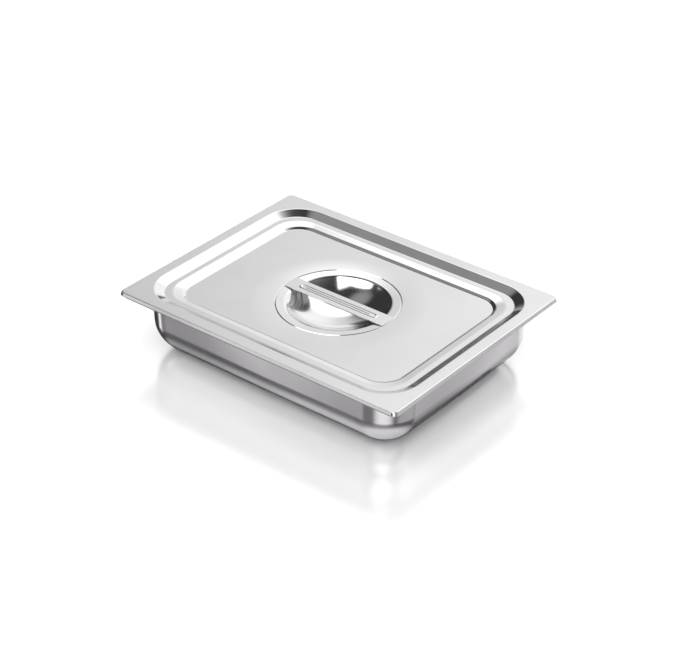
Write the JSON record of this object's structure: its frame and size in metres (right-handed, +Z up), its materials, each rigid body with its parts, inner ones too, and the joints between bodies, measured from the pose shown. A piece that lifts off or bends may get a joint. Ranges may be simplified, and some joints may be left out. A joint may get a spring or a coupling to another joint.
{
  "type": "deli_food_pan",
  "caption": "Half-size stainless steel deli food pan with a recessed lift-off lid, a round finger bowl and a ribbed handle strap across it",
  "frame": {"origin": "centre of the base that the pan stands on", "axes": "X runs along the long sides, Y across the pan, Z points up out of its mouth"},
  "size_m": [0.3288, 0.252, 0.0661],
  "materials": {
    "pan_steel": "bright rolled",
    "lid_steel": "polished",
    "strap_steel": "polished"
  },
  "bodies": {
    "pan": {"pan": "pan_steel"},
    "lid": {"lid": "lid_steel", "handle_strap": "strap_steel"}
  },
  "joints": [
    {"name": "lid_lift", "type": "slide", "parent": "pan", "child": "lid", "axis": [0, 0, 1], "range_m": [0, 0.12]}
  ]
}
